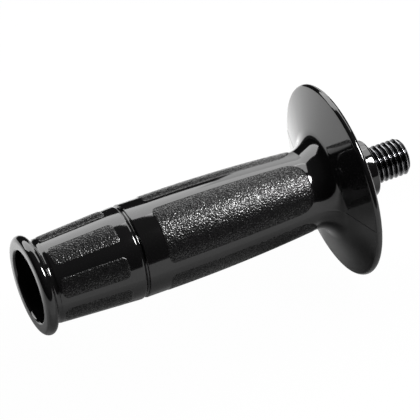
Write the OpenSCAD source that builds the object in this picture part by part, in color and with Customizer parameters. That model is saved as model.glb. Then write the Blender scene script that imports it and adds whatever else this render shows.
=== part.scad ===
// Side handle of a power tool, lying along X, in millimetres.
// The seat ring that closes against the tool is at x = 0, and the threaded stud points along +X.
// The grip is one moulding around the stud: bead, open rear end, groove, barrel, flange and boss.

/* [Grip] */
// Length of the moulding, from the seat to the rear end
grip_len = 134.9; // [130:0.1:160]
// Diameter of the barrel where the palm sits
barrel_d = 34.9; // [33.8:0.1:37]
// Diameter of the body just ahead of the rear bead
rear_d = 31.4; // [30.7:0.1:33]
// Distance from the seat back to where the barrel starts to narrow
swell_back = 82; // [70:1:92]
// Radius of the long curve that narrows the barrel towards the hub
swell_radius = 610; // [540:5:900]

/* [Rear bead] */
// Diameter of the bead round the open end
bead_d = 37.2; // [36:0.1:40]
// Radius of the bead's own section
bead_round = 2.15; // [1.8:0.05:2.4]
// Radius of the hollow ahead of the bead
neck_round = 1.3; // [1:0.1:1.8]
// Depth of that hollow below the body
neck_depth = 0.5; // [0.3:0.05:0.7]
// Radius of the shoulder between the hollow and the body
shoulder_round = 0.9; // [0.6:0.1:1.5]

/* [Ring groove] */
// Distance from the rear end to the middle of the groove
groove_from_rear = 39.1; // [37:0.1:44]
// Width of the groove's floor
groove_w = 0.9; // [0.6:0.1:1.6]
// Depth of the groove
groove_depth = 1; // [0.6:0.05:1.2]
// Radius of the edge behind the groove
groove_rear_round = 1.3; // [0.9:0.1:1.8]
// Radius of the lip in front of the groove
groove_lip_round = 0.35; // [0.2:0.05:0.4]

/* [Raised panels] */
// Height of the grained panels above the body
panel_relief = 0.2; // [0.1:0.05:0.4]
// Number of long panels round the barrel
front_panels = 4; // [3:1:6]
// Number of short panels round the rear section
rear_panels = 8; // [6:1:12]
// Angle of the smooth strip between two neighbouring panels
panel_gap_deg = 17; // [10:1:22]
// Distance from the rear end to the short panels
rear_panel_start = 8; // [7.5:0.1:12]
// Distance from the short panels to the groove's middle
rear_panel_end = 6.3; // [4:0.1:9]
// Distance from the groove's middle to the long panels
front_panel_start = 8.8; // [5:0.1:14]
// Corner radius at the rear end of every panel
panel_corner = 2; // [1:0.1:3]
// Corner radius at the long panels' hub end
panel_nose = 7; // [4:0.1:8]

/* [Flange and boss] */
// Diameter of the hand-guard flange
flange_d = 73; // [66:0.5:84]
// Distance from the seat back to the middle of the flange's rim
flange_back = 14; // [12:0.5:18]
// Radius of the rolled rim
rim_round = 1.25; // [1.2:0.05:2.1]
// Wall thickness of the flange inside its rim
flange_wall = 2.4; // [1.8:0.1:2.4]
// Lean of the flange's faces towards the tool
flange_lean = 14.5; // [6:0.5:18]
// Radius of the trumpet between the barrel and the flange
hub_round = 8.5; // [6:0.5:12]
// Diameter of the round boss in front of the flange
boss_d = 21.6; // [20:0.2:26]
// Radius where the boss leaves the flange
boss_fillet = 3; // [1.5:0.5:5]
// Radius of the boss's outer edge at the seat
boss_edge = 1; // [0.3:0.1:1.2]

/* [Open rear end] */
// Diameter of the hollow at its mouth
core_d = 26.9; // [24:0.1:27.4]
// Radius of the mouth's edge
mouth_round = 0.9; // [0.4:0.1:1.2]
// Draft of the hollow's wall
core_draft = 0.6; // [0.3:0.1:1]
// Plastic left between the hollow's floor and the stud's head
core_floor = 6.7; // [4:0.1:20]
// Radius in the corner of the hollow's floor
core_corner = 2; // [1:0.5:4]

/* [Stud] */
// Diameter over the thread, 14 for an M14 stud
stud_d = 14; // [10:1:16]
// Length of thread that stands out of the seat
stud_len = 14.5; // [10:0.5:30]
// Length of the chamfer at the stud's tip
stud_chamfer = 1.3; // [0.6:0.1:1.8]
// Diameter of the plain shank inside the plastic
shank_d = 12.7; // [9:0.1:13.5]
// Length of the plain shank, from the seat to the head
shank_len = 20.5; // [16:0.5:24]
// Width across the flats of the moulded-in head
head_af = 21; // [17:0.5:22]
// Thickness of the moulded-in head
head_h = 8.8; // [6:0.2:10]

/* [Hidden] */
$fn = 96;
arc_steps = 8;
barrel_steps = 14;
skin_root = 1;

barrel_r = barrel_d / 2;
rear_x = -grip_len;
groove_x = rear_x + groove_from_rear;
swell_x = -swell_back;
rim_c = [-flange_back, flange_d / 2 - rim_round];
bead_c = [rear_x + bead_round, bead_d / 2 - bead_round];

// Points along an arc, in (x, radius) coordinates, from angle a0 to a1.
function arc(c, r, a0, a1, steps = arc_steps) =
    [for (i = [0:steps]) let (a = a0 + (a1 - a0) * i / steps) c + r * [cos(a), sin(a)]];
function bearing(from, to) = atan2(to[1] - from[1], to[0] - from[0]);

// The hollow ahead of the bead touches the bead's circle and swings up into the shoulder.
neck_turn = acos(1 - neck_depth / (neck_round + shoulder_round));
neck_r = rear_d / 2 - neck_depth + neck_round;
neck_c = [bead_c[0] + sqrt(pow(bead_round + neck_round, 2) - pow(neck_r - bead_c[1], 2)), neck_r];
shoulder_c = neck_c + (neck_round + shoulder_round) * [sin(neck_turn), -cos(neck_turn)];

// The groove's rear edge is a quarter round cut off at the groove's floor.
groove_drop = acos(1 - groove_depth / groove_rear_round);
groove_edge_c = [groove_x - groove_w / 2 - groove_rear_round * sin(groove_drop),
                 barrel_r - groove_rear_round];
groove_lip_c = [groove_x + groove_w / 2 + groove_lip_round, barrel_r - groove_lip_round];

// The flange's rear face is a cone that touches the rolled rim. The trumpet's circle touches both
// that cone and the long curve of the barrel.
face_back = [-cos(flange_lean), sin(flange_lean)];
face_out = [sin(flange_lean), cos(flange_lean)];
rear_face = rim_c + rim_round * face_back;
swell_c = [swell_x, barrel_r - swell_radius];
hub_reach = rear_face + hub_round * face_back - swell_c;
hub_along = hub_reach * face_out;
hub_slide = hub_along - sqrt(pow(hub_along, 2) - hub_reach * hub_reach + pow(swell_radius + hub_round, 2));
hub_c = rear_face + hub_round * face_back - hub_slide * face_out;
hub_bearing = bearing(swell_c, hub_c);
hub_start_x = swell_c[0] + swell_radius * cos(hub_bearing);

// The flange's front face is the same cone, one wall thickness ahead, run into the boss.
front_face = rear_face - flange_wall * face_back;
rim_end = acos(1 - flange_wall / rim_round) - 180 - flange_lean;
boss_r = boss_d / 2;
boss_fillet_r = boss_r + boss_fillet;
boss_fillet_c = [front_face[0] + (boss_fillet + sin(flange_lean) * (boss_fillet_r - front_face[1]))
                 / cos(flange_lean), boss_fillet_r];

// Radius of the body's smooth surface between the shoulder and the hub.
function body_r(x) =
    x < groove_edge_c[0]
        ? rear_d / 2 + (barrel_r - rear_d / 2) * (x - shoulder_c[0]) / (groove_edge_c[0] - shoulder_c[0])
        : x < swell_x ? barrel_r : swell_c[1] + sqrt(pow(swell_radius, 2) - pow(x - swell_x, 2));

grip_outline = concat(
    [[rear_x, 0]],
    arc(bead_c, bead_round, 180, bearing(bead_c, neck_c), 2 * arc_steps),
    arc(neck_c, neck_round, 180 + bearing(bead_c, neck_c), 270 + neck_turn),
    arc(shoulder_c, shoulder_round, 90 + neck_turn, 90),
    arc(groove_edge_c, groove_rear_round, 90, 90 - groove_drop),
    [[groove_x + groove_w / 2, barrel_r - groove_depth]],
    arc(groove_lip_c, groove_lip_round, 180, 90),
    arc(swell_c, swell_radius, 90, hub_bearing, barrel_steps),
    arc(hub_c, hub_round, 180 + hub_bearing, 360 - flange_lean),
    arc(rim_c, rim_round, 180 - flange_lean, rim_end, 2 * arc_steps),
    arc(boss_fillet_c, boss_fillet, 180 - flange_lean, 270),
    arc([-boss_edge, boss_r - boss_edge], boss_edge, 90, 0),
    [[0, 0]]);

head_back = shank_len + head_h;
core_end = -head_back - core_floor;
core_r = core_d / 2;
core_end_r = core_r - tan(core_draft) * (core_end - rear_x);
core_outline = concat(
    [[rear_x - 1, 0], [rear_x - 1, core_r + mouth_round]],
    arc([rear_x + mouth_round, core_r + mouth_round], mouth_round, 180, 270),
    arc([core_end - core_corner, core_end_r - core_corner], core_corner, 90, 0),
    [[core_end, 0]]);

// Turns an outline given as (x, radius) into a solid round the X axis.
module turned(outline) {
    rotate([0, 90, 0])
        rotate_extrude()
            polygon([for (p = outline) [p[1], p[0]]]);
}

// Plan of one raised panel: straight-on view, its sides following lines of constant angle.
function panel_side(x0, x1, half_deg, steps) =
    [for (i = [0:steps]) let (x = x0 + (x1 - x0) * i / steps) [x, body_r(x) * sin(half_deg)]];
function flip(points) = [for (i = [len(points) - 1:-1:0]) [points[i][0], -points[i][1]]];
function panel_plan(x0, x1, half_deg, corner, nose, steps) =
    let (a = x0 + corner, b = x1 - nose,
         upper = concat(arc([a, body_r(a) * sin(half_deg) - corner], corner, 180, 90),
                        panel_side(a, b, half_deg, steps),
                        arc([b, body_r(b) * sin(half_deg) - nose], nose, 90, 0)))
    concat(upper, flip(upper));

module panel_row(count, x0, x1, nose, steps) {
    half_deg = (360 / count - panel_gap_deg) / 2;
    xs = [for (i = [0:steps]) x0 + (x1 - x0) * i / steps];
    intersection() {
        turned(concat([for (x = xs) [x, body_r(x) + panel_relief]],
                      [for (i = [steps:-1:0]) [xs[i], body_r(xs[i]) - skin_root]]));
        for (i = [0:count - 1])
            rotate([(i + 0.5) * 360 / count, 0, 0])
                linear_extrude(height = barrel_d)
                    polygon(panel_plan(x0, x1, half_deg, panel_corner, nose, steps));
    }
}

// The part of the stud that the plastic holds: plain shank and hexagon head.
module stud_anchor() {
    rotate([0, -90, 0]) {
        cylinder(d = shank_d, h = shank_len);
        translate([0, 0, shank_len])
            cylinder(d = head_af / cos(30), h = head_h, $fn = 6);
    }
}

module grip() {
    color("#17171a")
        difference() {
            union() {
                turned(grip_outline);
                panel_row(rear_panels, rear_x + rear_panel_start, groove_x - rear_panel_end, panel_corner, 1);
                panel_row(front_panels, groove_x + front_panel_start, hub_start_x, panel_nose, barrel_steps);
            }
            turned(core_outline);
            stud_anchor();
        }
}

// The thread is drawn as its full diameter, with the chamfer at the tip.
module stud() {
    color("#2c2c2f") {
        rotate([0, 90, 0]) {
            cylinder(d = stud_d, h = stud_len - stud_chamfer);
            translate([0, 0, stud_len - stud_chamfer])
                cylinder(d1 = stud_d, d2 = stud_d - 2 * stud_chamfer, h = stud_chamfer);
        }
        stud_anchor();
    }
}

grip();
stud();
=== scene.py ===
import math

import bpy
import numpy as np
from mathutils import Matrix, Vector


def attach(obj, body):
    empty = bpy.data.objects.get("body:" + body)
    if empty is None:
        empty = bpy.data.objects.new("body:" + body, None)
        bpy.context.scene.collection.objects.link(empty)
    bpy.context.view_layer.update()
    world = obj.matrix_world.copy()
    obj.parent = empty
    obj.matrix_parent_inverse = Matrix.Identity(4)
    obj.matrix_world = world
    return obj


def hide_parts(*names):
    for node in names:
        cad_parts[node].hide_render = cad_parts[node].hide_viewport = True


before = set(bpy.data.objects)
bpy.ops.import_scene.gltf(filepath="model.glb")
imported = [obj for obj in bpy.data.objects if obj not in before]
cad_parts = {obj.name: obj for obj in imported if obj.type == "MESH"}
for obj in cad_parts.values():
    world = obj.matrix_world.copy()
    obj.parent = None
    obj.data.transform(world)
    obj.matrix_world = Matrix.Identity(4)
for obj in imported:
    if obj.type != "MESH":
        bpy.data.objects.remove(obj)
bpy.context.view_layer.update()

# Camera
# A long lens looks down on the handle from its open rear end, turned so that the stud points up
# to the right.
camera_data = bpy.data.cameras.new("photo_lens")
camera_data.sensor_width = 36
camera_data.lens = 261.321
camera_data.clip_start = 0.1
camera_data.clip_end = 20
camera = bpy.data.objects.new("photo_camera", camera_data)
bpy.context.scene.collection.objects.link(camera)
camera_right = Vector((0.901770, -0.425332, -0.076831))
camera_up = Vector((0.316391, 0.528497, 0.787773))
camera_back = Vector((-0.294460, -0.734699, 0.611155))
camera_place = Vector((-0.384800, -0.801854, 0.672836))
camera_turn = Matrix((camera_right, camera_up, camera_back)).transposed()
camera.matrix_world = Matrix.Translation(camera_place) @ camera_turn.to_4x4()
bpy.context.scene.camera = camera
bpy.context.scene.view_settings.view_transform = "Standard"


# White table
# A matt white table top touches the flange's rim, and the camera sees it white without end.
# Lights and reflections see it up to its edges, in a grey with painted shade and light: painted
# shade makes it greyer in front of the handle than behind it, a painted shadow darkens it under
# the grip, and painted light lifts it under the flange.
class Wire:
    """One socket of a node tree, written as a number in sums."""

    def __init__(self, tree, socket=None):
        self.tree = tree
        self.socket = socket

    def add(self, kind, settings=None, sockets=None, out=0):
        """Adds a node: its settings come first, then the values or links of its sockets."""
        node = self.tree.nodes.new(kind)
        for name, value in (settings or {}).items():
            setattr(node, name, value)
        for name, value in (sockets or {}).items():
            if isinstance(value, Wire):
                self.tree.links.new(value.socket, node.inputs[name])
            else:
                node.inputs[name].default_value = value
        return Wire(self.tree, node.outputs[out] if len(node.outputs) else None)

    def sum(self, operation, *values):
        return self.add("ShaderNodeMath", {"operation": operation}, dict(enumerate(values)))

    def __add__(self, other):
        return self.sum("ADD", self, other)

    def __radd__(self, other):
        return self.sum("ADD", other, self)

    def __sub__(self, other):
        return self.sum("SUBTRACT", self, other)

    def __rsub__(self, other):
        return self.sum("SUBTRACT", other, self)

    def __mul__(self, other):
        return self.sum("MULTIPLY", self, other)

    def __rmul__(self, other):
        return self.sum("MULTIPLY", other, self)

    def __truediv__(self, other):
        return self.sum("DIVIDE", self, other)

    def __rtruediv__(self, other):
        return self.sum("DIVIDE", other, self)

    def root(self):
        return self.sum("SQRT", self)

    def size(self):
        return self.sum("ABSOLUTE", self)

    def whole(self):
        return self.sum("FLOOR", self)

    def at_least(self, other):
        return self.sum("MAXIMUM", self, other)

    def at_most(self, other):
        return self.sum("MINIMUM", self, other)

    def ease(self, low, high, start=0.0, end=1.0):
        """Runs smoothly from start to end while this number runs from low to high."""
        return self.add("ShaderNodeMapRange", {"interpolation_type": "SMOOTHSTEP"},
                        {"Value": self, "From Min": low, "From Max": high, "To Min": start, "To Max": end})

    def parts(self):
        """The x, y and z of this vector."""
        apart = self.add("ShaderNodeSeparateXYZ", sockets={0: self})
        return [Wire(self.tree, end) for end in apart.socket.node.outputs]

    def tone(self, first, second):
        """The first colour where this number is 0 and the second where it is 1."""
        return self.add("ShaderNodeMix", {"data_type": "RGBA"}, {0: self, 6: first, 7: second}, out=2)

    def finish(self, first, second):
        """The first shader where this number is 0 and the second where it is 1."""
        return self.add("ShaderNodeMixShader", sockets={0: self, 1: first, 2: second})


def new_finish(name):
    """An empty material and a wire into its node tree."""
    material = bpy.data.materials.new(name)
    material.use_nodes = True
    material.node_tree.nodes.clear()
    return material, Wire(material.node_tree)


def new_piece(name, points, faces):
    """An object at the origin, with its place in its mesh."""
    mesh = bpy.data.meshes.new(name)
    mesh.from_pydata(points, [], faces)
    piece = bpy.data.objects.new(name, mesh)
    bpy.context.scene.collection.objects.link(piece)
    return piece


def stage_piece(name, points, faces, material):
    """A piece of the studio, which isn't part of the handle."""
    piece = new_piece(name, points, faces)
    piece.data.materials.append(material)
    return piece


MM = 0.001
WHITE = (1, 1, 1, 1)
TABLE_Z = -36.6 * MM
TABLE_RADIUS = 2.2
TABLE_FRONT = 0.42
TABLE_SIDE = 0.52
TABLE_BACK = 0.26
EDGE_BLUR = 0.03
GRIP_MIDDLE = -0.06
SHADE_LONG = 0.09
SHADE_WIDE = 0.01
DARK_TONE = 0.03

table_top, wire = new_finish("white_table")
table_x, across = wire.add("ShaderNodeTexCoord", out="Object").parts()[:2]
along = table_x - GRIP_MIDDLE
reach = (along * along + across * across).root()
past_front = (0 - across).at_least(along.size() - (TABLE_SIDE - TABLE_FRONT))
past_front = past_front.ease(TABLE_FRONT, TABLE_FRONT + EDGE_BLUR)
past_edge = past_front.at_least(across.ease(TABLE_BACK, TABLE_BACK + EDGE_BLUR))
# Painted shade and light in the table's grey: a painted shadow right under the grip, painted light under
# the flange, and painted shade in front of the handle.
from_grip = (across.size() - SHADE_WIDE).at_least(along.size() - SHADE_LONG)
painted_grip_shadow = from_grip.ease(0.0, 0.07, 0.40, 1.0)
painted_flange_light = along.ease(0.028, 0.044, 0.0, 0.75) * across.size().ease(0.0, 0.03, 1.0, 0.0)
painted_front_shade = across.ease(-0.02, 0.05, 0.37, 0.61)
lightness = painted_front_shade * (painted_grip_shadow + painted_flange_light) * (1 - past_edge) + past_edge * DARK_TONE
grey = wire.add("ShaderNodeCombineColor", sockets={0: lightness, 1: lightness, 2: lightness})
matt = wire.add("ShaderNodeBsdfDiffuse", sockets={"Color": grey})
white = wire.add("ShaderNodeEmission", sockets={"Color": WHITE, "Strength": 1.0})
clear = wire.add("ShaderNodeBsdfTransparent")
whiteness = wire.add("ShaderNodeLightPath", out="Is Camera Ray") * reach.ease(0.08, 0.30, 0.985, 1.0)
is_under = wire.add("ShaderNodeNewGeometry", out="Backfacing")
seen = is_under.finish(whiteness.finish(matt, white), clear)
wire.add("ShaderNodeOutputMaterial", sockets={"Surface": seen})

rim_turns = [math.radians(a) for a in range(0, 360, 5)]
rim_points = [(TABLE_RADIUS * math.cos(a), TABLE_RADIUS * math.sin(a), TABLE_Z) for a in rim_turns]
stage_piece("table", rim_points, [tuple(range(len(rim_points)))], table_top)


# Dark room
# The studio round the table is a dark shell that glows faintly, less dark overhead, though it is
# no lamp: painted surroundings that only the handle's gloss sees. The camera and everything else
# see plain white behind the table.
def band_faces(bands, count, first=0):
    """Faces between closed rings that have the same count of points."""
    faces = []
    for i in range(bands):
        near = first + i * count
        for j in range(count):
            k = (j + 1) % count
            faces.append((near + j, near + k, near + count + k, near + count + j))
    return faces


ROOM_RADIUS = 2.25
ROOM_BANDS = 24
ROOM_SPOKES = 48
WORLD_LIGHT = 0.35

painted_room_glow, wire = new_finish("dark_room")
height = wire.add("ShaderNodeTexCoord", out="Object").parts()[2] / TABLE_RADIUS
# Painted surroundings: the shell's faint glow grows towards the top.
dimness = height.ease(0.35, 0.95, 0.008, 0.06)
glow = wire.add("ShaderNodeEmission", sockets={"Color": WHITE, "Strength": dimness})
wire.add("ShaderNodeOutputMaterial", sockets={"Surface": glow})

room_points = []
for i in range(ROOM_BANDS + 1):
    tilt = math.pi * i / ROOM_BANDS
    for j in range(ROOM_SPOKES):
        turn = 2 * math.pi * j / ROOM_SPOKES
        room_points.append((ROOM_RADIUS * math.sin(tilt) * math.cos(turn),
                            ROOM_RADIUS * math.sin(tilt) * math.sin(turn),
                            ROOM_RADIUS * math.cos(tilt)))
room = stage_piece("dark_room", room_points, band_faces(ROOM_BANDS, ROOM_SPOKES), painted_room_glow)
room.visible_camera = False
room.visible_diffuse = False
room.visible_transmission = False
room.visible_shadow = False

world = bpy.data.worlds.new("white_surround")
world.use_nodes = True
world.node_tree.nodes.clear()
wire = Wire(world.node_tree)
shows = wire.add("ShaderNodeLightPath", out="Is Camera Ray")
shows = shows.at_least(wire.add("ShaderNodeLightPath", out="Is Glossy Ray"))
shows = shows.at_least(wire.add("ShaderNodeLightPath", out="Is Transmission Ray"))
strength = shows.ease(0, 1, WORLD_LIGHT, 1.0)
backdrop = wire.add("ShaderNodeBackground", sockets={"Color": WHITE, "Strength": strength})
wire.add("ShaderNodeOutputWorld", sockets={"Surface": backdrop})
bpy.context.scene.world = world

# Card behind the stud
# A low card stands on the table behind the stud and glows, brighter towards its top, though it is
# no lamp: a painted reflection that only glossy surfaces see, and to all else it is clear.
CARD_LEFT = 0.06
CARD_RIGHT = 0.22
CARD_Y = 0.28
CARD_TOP = 0.27

painted_reflection_card, wire = new_finish("painted_reflection_card")
level = wire.add("ShaderNodeTexCoord", out="Object").parts()[2]
# Painted light: the card's glow rises towards its top.
brightness = level.ease(TABLE_Z, 0.20, 0.7, 3.6)
glow = wire.add("ShaderNodeEmission", sockets={"Color": WHITE, "Strength": brightness})
clear = wire.add("ShaderNodeBsdfTransparent")
is_mirrored = wire.add("ShaderNodeLightPath", out="Is Glossy Ray")
wire.add("ShaderNodeOutputMaterial", sockets={"Surface": is_mirrored.finish(clear, glow)})

card_points = [(CARD_LEFT, CARD_Y, TABLE_Z), (CARD_RIGHT, CARD_Y, TABLE_Z),
               (CARD_RIGHT, CARD_Y, CARD_TOP), (CARD_LEFT, CARD_Y, CARD_TOP)]
stage_piece("card", card_points, [(0, 1, 2, 3)], painted_reflection_card)


# Lamps
# A wide soft light stands behind the handle, a small bright one hangs high in front of it, and a
# third, weak one hangs high on the stud's side.
def soft_light(name, centre, facing, wide, tall, brightness, roll=0):
    """A flat rectangular light of even brightness, rolled by some degrees in its own plane."""
    data = bpy.data.lights.new(name, "AREA")
    data.shape = "RECTANGLE"
    data.size = wide
    data.size_y = tall
    data.energy = brightness * math.pi * wide * tall
    lamp = bpy.data.objects.new(name, data)
    bpy.context.scene.collection.objects.link(lamp)
    sideways = facing.cross(Vector((0, 0, 1))).normalized()
    upward = sideways.cross(facing)
    upright = Matrix((sideways, upward, facing * -1)).transposed().to_4x4()
    rolled = Matrix.Rotation(math.radians(roll), 4, "Z")
    lamp.matrix_world = Matrix.Translation(centre) @ upright @ rolled
    lamp.visible_camera = False


back_turn = math.radians(75)
back_side = Vector((math.cos(back_turn), math.sin(back_turn), -0.015)).normalized()
soft_light("back_light", Vector((-0.369, 0.845, 1.015)), back_side * -1,
           wide=2.02, tall=1.35, brightness=5.4, roll=-11)
front_centre = Vector((0.490, -0.462, 0.873))
front_side = (front_centre - Vector((-0.05, 0, 0))).normalized()
soft_light("front_light", front_centre, front_side * -1, wide=0.22, tall=0.38, brightness=96)
top_centre = Vector((0.47, 0.21, 1.0))
soft_light("top_light", top_centre, top_centre.normalized() * -1, wide=0.54, tall=0.44, brightness=5)

# Grip
# One injection moulding in glossy black plastic: bead, open rear end, groove, barrel, flange and
# boss, closed round the stud. The mould halves part level with the axis and leave a fine line.
grip_len = 134.9
barrel_r = 17.45
rear_r = 15.7
swell_x = -82.0
swell_radius = 610.0
bead_r = 18.6
bead_round = 2.15
neck_round = 1.3
neck_depth = 0.5
shoulder_round = 0.9
groove_x = -95.8
groove_w = 0.9
groove_depth = 1.0
groove_rear_round = 1.3
groove_lip_round = 0.35
panel_corner = 2.0
hub_corner = 7.0
end_to_panel = 7.5
panel_to_groove = 6.3
groove_to_panel = 8.8
rim_c = (-14.0, 35.25)
rim_round = 1.25
flange_wall = 2.4
flange_lean = 14.5
hub_round = 8.5
boss_r = 10.8
boss_fillet = 3.0
boss_edge = 1.0
seat_ring_r = 8.6
core_r = 13.45
core_draft = 0.6
core_end = -36.0
core_corner = 2.0
mouth_round = 0.9
shank_r = 6.35
shank_len = 20.5
head_r = 12.12
head_back = 29.3
inner_ring_r = 4.0
edge_row = 0.3
same_point = 0.004


def swing(centre, radius, start, end, steps):
    """Points (x, radius) along an arc of the outline."""
    turns = [math.radians(start + (end - start) * i / steps) for i in range(steps + 1)]
    return [(centre[0] + radius * math.cos(a), centre[1] + radius * math.sin(a)) for a in turns]


def bearing(start, end):
    """Direction in degrees from one point of the outline to another."""
    return math.degrees(math.atan2(end[1] - start[1], end[0] - start[0]))


# Centres of the outline's arcs, each worked out so that its arc runs smoothly into the next.
rear_x = -grip_len
bead_c = (rear_x + bead_round, bead_r - bead_round)
neck_reach = neck_round + shoulder_round
neck_turn = math.degrees(math.acos(1 - neck_depth / neck_reach))
neck_r = rear_r - neck_depth + neck_round
neck_c = (bead_c[0] + math.sqrt((bead_round + neck_round) ** 2 - (neck_r - bead_c[1]) ** 2), neck_r)
shoulder_c = (neck_c[0] + neck_reach * math.sin(math.radians(neck_turn)),
              neck_c[1] - neck_reach * math.cos(math.radians(neck_turn)))
groove_drop = math.degrees(math.acos(1 - groove_depth / groove_rear_round))
groove_edge_c = (groove_x - groove_w / 2 - groove_rear_round * math.sin(math.radians(groove_drop)),
                 barrel_r - groove_rear_round)
groove_lip_c = (groove_x + groove_w / 2 + groove_lip_round, barrel_r - groove_lip_round)
lean = math.radians(flange_lean)
face_back = np.array((-math.cos(lean), math.sin(lean)))
face_out = np.array((math.sin(lean), math.cos(lean)))
rear_face = np.array(rim_c) + rim_round * face_back
swell_c = np.array((swell_x, barrel_r - swell_radius))
hub_reach = rear_face + hub_round * face_back - swell_c
hub_along = hub_reach @ face_out
hub_slide = hub_along - math.sqrt(hub_along ** 2 - hub_reach @ hub_reach + (swell_radius + hub_round) ** 2)
hub_c = rear_face + hub_round * face_back - hub_slide * face_out
hub_bearing = bearing(swell_c, hub_c)
hub_start = swell_x + swell_radius * math.cos(math.radians(hub_bearing))
front_face = rear_face - flange_wall * face_back
rim_end = math.degrees(math.acos(1 - flange_wall / rim_round)) - 180 - flange_lean
fillet_r = boss_r + boss_fillet
fillet_x = front_face[0] + (boss_fillet + math.sin(lean) * (fillet_r - front_face[1])) / math.cos(lean)


def body_r(x):
    """Radius of the smooth surface between the shoulder and the hub."""
    if x < groove_edge_c[0]:
        share = (x - shoulder_c[0]) / (groove_edge_c[0] - shoulder_c[0])
        return rear_r + (barrel_r - rear_r) * share
    if x < swell_x:
        return barrel_r
    return swell_c[1] + math.sqrt(swell_radius ** 2 - (x - swell_x) ** 2)


def bore_r(x):
    """Radius of the hollow core, which narrows inward by its draft."""
    return core_r - math.tan(math.radians(core_draft)) * (x - rear_x)


def panel_stops(start, end, first_corner, last_corner, pitch):
    """Rows across one panel: close together on its rolled ends and round its corners."""
    roll_rows = (-0.25, 0.0, 0.1, 0.2, 0.32, 0.45, 0.6)
    corner_pitch = 0.26
    last_pitch = corner_pitch if last_corner < 4 else 0.34
    middle_rows = max(2, round((end - start - first_corner - last_corner) / pitch))
    stops = [start + a for a in roll_rows]
    stops += list(np.arange(start + 0.85, start + first_corner + 0.3, corner_pitch))
    stops += list(np.linspace(start + first_corner + 0.6, end - last_corner - 0.6, middle_rows))
    stops += list(np.arange(end - last_corner - 0.3, end - 0.75, last_pitch))
    return stops + [end - a for a in reversed(roll_rows)]


rear_panel = (rear_x + end_to_panel, groove_x - panel_to_groove)
front_panel = (groove_x + groove_to_panel, hub_start - 0.05)
rear_stops = panel_stops(*rear_panel, panel_corner, panel_corner, pitch=2.5)
front_stops = panel_stops(*front_panel, panel_corner, hub_corner, pitch=3.0)

# The outline starts at the core's inner end, comes out of the open rear, goes forward over the
# skin to the flange and the boss, and turns back into the stud's seat.
outline = [(core_end, inner_ring_r)]
outline += swing((core_end - core_corner, bore_r(core_end) - core_corner), core_corner, 0, 90, 6)
outline += [(x, bore_r(x)) for x in (-60, -85, -110, -128)]
outline += swing((rear_x + mouth_round, core_r + mouth_round), mouth_round, 270, 180, 8)
outline += swing(bead_c, bead_round, 180, bearing(bead_c, neck_c), 26)
outline += swing(neck_c, neck_round, 180 + bearing(bead_c, neck_c), 270 + neck_turn, 10)[1:]
outline += swing(shoulder_c, shoulder_round, 90 + neck_turn, 90, 6)[1:]
outline += [(x, body_r(x)) for x in rear_stops]
outline += swing(groove_edge_c, groove_rear_round, 90, 90 - groove_drop, 7)
outline += [(groove_x, barrel_r - groove_depth), (groove_x + groove_w / 2, barrel_r - groove_depth)]
outline += swing(groove_lip_c, groove_lip_round, 180, 90, 6)
outline += [(x, body_r(x)) for x in front_stops if x < hub_start - 0.02]
outline += swing(hub_c, hub_round, 180 + hub_bearing, 360 - flange_lean, 30)
outline += [tuple(rear_face - s * face_out) for s in (9, 6, 3, 1)]
outline += swing(rim_c, rim_round, 180 - flange_lean, rim_end, 26)
outline += [tuple(np.array(outline[-1]) - s * face_out) for s in (2, 8, 14)]
outline += swing((fillet_x, fillet_r), boss_fillet, 180 - flange_lean, 270, 10)
outline += [(-3.0, boss_r)]
outline += swing((-boss_edge, boss_r - boss_edge), boss_edge, 90, 0, 7)
outline += [(0, seat_ring_r), (0, shank_r + edge_row), (0, shank_r), (-edge_row, shank_r)]
outline += [(-shank_len, shank_r), (-shank_len, head_r), (-head_back, head_r), (-head_back, inner_ring_r)]
rows = [outline[0]]
for point in outline[1:]:
    if math.dist(point, rows[-1]) > same_point:
        rows.append(point)

# Each sector of 45 degrees runs from the middle of one smooth strip to the next, with its columns
# close together where a panel's side rolls over. More columns lie close beside the parting line.
half_sector = [2.9, 5.8, 8.1, 8.5, 8.85, 9.2, 9.6, 10.1, 10.8, 11.7, 12.7, 13.8, 15.0, 16.2, 17.5,
               18.8, 20.1, 21.4]
sector = [0.0] + half_sector + [45 - a for a in reversed(half_sector)]
columns = [45 * k + a for k in range(8) for a in sector]
for side in (0, 180):
    for a in (0.13, 0.3, 0.7):
        columns += [side + a, (side - a) % 360]
columns.sort()

count = len(columns)
points = []
for x, r in rows:
    for a in columns:
        points.append((x * MM, -r * MM * math.cos(math.radians(a)), r * MM * math.sin(math.radians(a))))
faces = band_faces(len(rows) - 1, count)
first_pole = len(points)
last_pole = first_pole + 1
last_row = first_pole - count
for j in range(count):
    k = (j + 1) % count
    faces.append((first_pole, k, j))
    faces.append((last_pole, last_row + j, last_row + k))
points += [(rows[0][0] * MM, 0, 0), (rows[-1][0] * MM, 0, 0)]
shell = new_piece("moulded_shell", points, faces)
shell.data.flip_normals()
shell.data.shade_smooth()

# The mould's cavity is etched inside the panels' outlines, so they stand a little proud with a
# fine leather grain, and the strips between them are polished. The grain's gloss is lowered, most
# in duller specks, as painted shade of its pits.
GRAIN_DEPTH = 0.17 * MM

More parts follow.
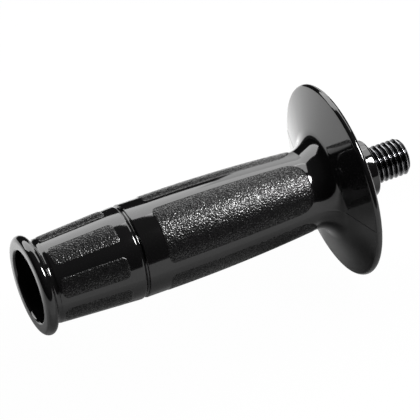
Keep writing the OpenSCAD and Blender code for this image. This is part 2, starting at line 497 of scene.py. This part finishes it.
black_plastic, wire = new_finish("black_plastic")
place = wire.add("ShaderNodeTexCoord", out="Object")
etched = wire.add("ShaderNodeAttribute", {"attribute_name": "etched"}, out="Fac")
coarse = wire.add("ShaderNodeTexNoise", sockets={"Vector": place, "Scale": 1800.0, "Detail": 0.0})
fine = wire.add("ShaderNodeTexNoise", sockets={"Vector": place, "Scale": 2500.0, "Detail": 0.0})
cloudy = wire.add("ShaderNodeTexNoise", sockets={
    "Vector": place, "Scale": 55.0, "Detail": 3.0, "Roughness": 0.55})
polished_rough = 0.055 + cloudy * 0.03
etched_rough = 0.20 + fine * 0.06
rough = polished_rough * (1 - etched) + etched_rough * etched
grain = (coarse * 0.92 + fine * 0.08) * etched
relief = wire.add("ShaderNodeBump", sockets={"Strength": 1.0, "Distance": GRAIN_DEPTH, "Height": grain})
tint = cloudy.tone((0.0018, 0.0018, 0.0019, 1), (0.0028, 0.0027, 0.0028, 1))
polished = wire.add("ShaderNodeBsdfPrincipled", sockets={
    "Base Color": tint, "Roughness": rough, "IOR": 1.5, "Normal": relief})
# Painted shade: lower gloss on the grain, lowest in the specks, stands in for the shade of its pits.
bright_grain = wire.add("ShaderNodeBsdfPrincipled", sockets={
    "Base Color": tint, "Roughness": rough, "IOR": 1.5, "Specular IOR Level": 0.36, "Normal": relief})
shaded_pit_speck = wire.add("ShaderNodeBsdfPrincipled", sockets={
    "Base Color": tint, "Roughness": 0.4, "IOR": 1.5, "Specular IOR Level": 0.10, "Normal": relief})
grained = fine.ease(0.42, 0.56).finish(bright_grain, shaded_pit_speck)
wire.add("ShaderNodeOutputMaterial", sockets={"Surface": etched.finish(polished, grained)})


def new_rule(name, sizes):
    """A node tree with named sizes: a wire into it, what it is given, and each size's value."""
    tree = bpy.data.node_groups.new(name, "GeometryNodeTree")
    tree.interface.new_socket("Geometry", in_out="INPUT", socket_type="NodeSocketGeometry")
    numbers = {}
    for size_name, number in sizes.items():
        socket = tree.interface.new_socket(size_name, in_out="INPUT", socket_type="NodeSocketFloat")
        numbers[socket.identifier] = number
    tree.interface.new_socket("Geometry", in_out="OUTPUT", socket_type="NodeSocketGeometry")
    start = Wire(tree).add("NodeGroupInput")
    given = {s.name: Wire(tree, s) for s in start.socket.node.outputs if s.name}
    return start, given, numbers


def remake(piece, shape, material, numbers):
    """Ends a rule with its shape in one material, and makes the piece the plain mesh it gives."""
    real = shape.add("GeometryNodeRealizeInstances", sockets={"Geometry": shape})
    painted = shape.add("GeometryNodeSetMaterial", sockets={"Geometry": real, "Material": material})
    shape.add("NodeGroupOutput", sockets={"Geometry": painted})
    step = piece.modifiers.new("rule", "NODES")
    step.node_group = shape.tree
    for identifier, number in numbers.items():
        step[identifier] = number
    graph = bpy.context.evaluated_depsgraph_get()
    result = bpy.data.meshes.new_from_object(piece.evaluated_get(graph), depsgraph=graph)
    piece.modifiers.remove(step)
    piece.data = result
    result.name = piece.name


# A point's depth inside a panel's outline lifts it and marks it as etched. The parting line is a
# fine ridge, full on the flange and boss, faint on the grip behind them and absent on the panels.
wire, given, panel_sizes = new_rule("raised_panels", {
    "Short panels": 8.0, "Long panels": 4.0, "Strip angle": 17.0, "Relief": 0.10, "Rolled edge": 0.6,
    "Short start": rear_panel[0], "Short end": rear_panel[1], "Long start": front_panel[0],
    "Long end": front_panel[1], "Corner": panel_corner, "Hub corner": hub_corner, "Parting line": 0.07})
spot_x, spot_y, spot_z = wire.add("GeometryNodeInputPosition").parts()
x_mm = spot_x * 1000
y_mm = spot_y * 1000
z_mm = spot_z * 1000
radius = (y_mm * y_mm + z_mm * z_mm).root()
turn = wire.sum("ARCTAN2", z_mm, 0 - y_mm) * (180 / math.pi) + 360


def inside_panel(number, start, end, near_corner, far_corner):
    """Distance in mm from a point inward to the rounded outline of the panel round it."""
    pitch = 360 / number
    across = turn / pitch
    off_centre = (across - across.whole() - 0.5).size() * pitch
    half = (pitch - given["Strip angle"]) / 2
    from_side = (half - off_centre) * (math.pi / 180) * radius
    depths = []
    for from_end, corner in ((x_mm - start, near_corner), (end - x_mm, far_corner)):
        a = corner - from_side
        b = corner - from_end
        a_out = a.at_least(0)
        b_out = b.at_least(0)
        rounded = (a_out * a_out + b_out * b_out).root()
        depths.append(corner - rounded - a.at_least(b).at_most(0))
    return depths[0].at_most(depths[1])


short_depth = inside_panel(given["Short panels"], given["Short start"], given["Short end"],
                           given["Corner"], given["Corner"])
long_depth = inside_panel(given["Long panels"], given["Long start"], given["Long end"],
                          given["Corner"], given["Hub corner"])
depth = short_depth.at_least(long_depth)
outside = radius.ease(14.6, 14.7)
raised = depth.ease(0.0, given["Rolled edge"]) * outside
lift = raised * given["Relief"] / radius
push = wire.add("ShaderNodeCombineXYZ", sockets={0: 0.0, 1: spot_y * lift, 2: spot_z * lift})
flash = z_mm.size().ease(0.0, 0.2, 1.0, 0.0) * outside * (1 - raised) * x_mm.ease(-26.0, -21.0, 0.15, 1.0)
line = wire.add("ShaderNodeVectorMath", {"operation": "SCALE"}, {
    0: wire.add("GeometryNodeInputNormal"), 3: flash * given["Parting line"] * MM})
push = wire.add("ShaderNodeVectorMath", {"operation": "ADD"}, {0: push, 1: line})
moved = wire.add("GeometryNodeSetPosition", sockets={"Geometry": given["Geometry"], "Offset": push})
kept = wire.add("GeometryNodeStoreNamedAttribute", {"data_type": "FLOAT", "domain": "POINT"},
                {"Geometry": moved, "Name": "etched", "Value": depth.ease(0.0, 0.2) * outside})
remake(shell, kept, black_plastic, panel_sizes)
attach(shell, "root")
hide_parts("grip")

# Stud
# A black oxide steel bolt, moulded into the grip by its hexagon head and plain shank. Its M14
# thread is rolled, with rounded roots and rounded crests that are coloured lighter than the rest,
# and it runs out at the chamfered tip.
head_flat = 21.0
stud_r = 7.0
stud_tip = 14.5
thread_pitch = 2.0

bolt_points = []
bolt_faces = []
for start, end, outer_r, sides, corner_turn in (
        (-head_back, -shank_len, head_flat / math.sqrt(3), 6, 30), (-shank_len, 0.0, shank_r, 48, 0)):
    first = len(bolt_points)
    for x in (start, end):
        for k in range(sides):
            a = math.radians(corner_turn + 360 * k / sides)
            bolt_points.append((x * MM, outer_r * MM * math.cos(a), outer_r * MM * math.sin(a)))
    bolt_faces += band_faces(1, sides, first)
    bolt_faces.append(tuple(first + k for k in reversed(range(sides))))
    bolt_faces.append(tuple(first + sides + k for k in range(sides)))
bolt = new_piece("threaded_bolt", bolt_points, bolt_faces)

black_steel, wire = new_finish("black_oxide_steel")
place = wire.add("ShaderNodeTexCoord", out="Object")
patches = wire.add("ShaderNodeTexNoise", sockets={
    "Vector": place, "Scale": 700.0, "Detail": 3.0, "Roughness": 0.6})
steel_y, steel_z = place.parts()[1:]
crest = (steel_y * steel_y + steel_z * steel_z).root().ease(6.72 * MM, 6.92 * MM)
# The crests are coloured lighter than the flanks and roots, with a little of the mottling mixed in.
lighter_crests = patches * 0.1 + crest * 0.9
tint = lighter_crests.tone((0.018, 0.018, 0.020, 1), (0.200, 0.200, 0.205, 1))
relief = wire.add("ShaderNodeBump", sockets={"Strength": 0.35, "Distance": 0.04 * MM, "Height": patches})
steel = wire.add("ShaderNodeBsdfPrincipled", sockets={
    "Base Color": tint, "Metallic": 1.0, "Roughness": 0.13 + patches * 0.10, "Normal": relief})
wire.add("ShaderNodeOutputMaterial", sockets={"Surface": steel})

# The thread starts as a flat grid: one way along the bolt in turns of the thread, the other way
# once round it. The first and last few rows draw in to the axis and close its ends.
steps_per_turn = 22
steps_round = 96
cap_rows = 4
rows_long = round((stud_tip / thread_pitch + 1) * steps_per_turn) + 2 * cap_rows
turns_long = rows_long / steps_per_turn
cap_turns = cap_rows / steps_per_turn
start_turns = -1 - cap_turns
end_turns = start_turns + turns_long

wire, given, thread_sizes = new_rule("rolled_thread", {
    "Outer radius": stud_r, "Depth": 1.08, "Pitch": thread_pitch, "Length": stud_tip, "Chamfer": 1.3})
grid = wire.add("GeometryNodeMeshGrid", sockets={
    "Size X": turns_long, "Size Y": 1.0, "Vertices X": rows_long + 1, "Vertices Y": steps_round + 1})
grid_x, grid_y = wire.add("GeometryNodeInputPosition").parts()[:2]
along = grid_x + (turns_long / 2 + start_turns)
part_turn = grid_y + 0.5
closing = ((along - start_turns) / cap_turns).at_least(0).at_most(1)
closing = closing * ((end_turns - along) / cap_turns).at_least(0).at_most(1)
x_at = ((along + part_turn) * given["Pitch"]).at_least(0).at_most(given["Length"])
phase = x_at / given["Pitch"] - part_turn
ridge = ((phase - phase.whole() - 0.5).size() * 2).ease(0.08, 0.94)
out_to = given["Outer radius"] - given["Depth"] * (1 - ridge)
tip_limit = given["Outer radius"] - given["Chamfer"] + (given["Length"] - x_at)
out_to = out_to.at_most(tip_limit) * closing * MM
turn = part_turn * (2 * math.pi)
moved = wire.add("ShaderNodeCombineXYZ", sockets={
    0: x_at * MM, 1: out_to * wire.sum("COSINE", turn), 2: out_to * wire.sum("SINE", turn)})
thread = wire.add("GeometryNodeSetPosition", sockets={"Geometry": grid, "Position": moved})
thread = wire.add("GeometryNodeMergeByDistance", sockets={"Geometry": thread, "Distance": 0.004 * MM})
thread = wire.add("GeometryNodeFlipFaces", sockets={"Mesh": thread})
thread = wire.add("GeometryNodeSetShadeSmooth", sockets={"Geometry": thread, "Shade Smooth": True})
joined = wire.add("GeometryNodeJoinGeometry")
for part in (given["Geometry"], thread):
    wire.tree.links.new(part.socket, joined.socket.node.inputs["Geometry"])
remake(bolt, joined, black_steel, thread_sizes)
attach(bolt, "root")
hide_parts("stud")
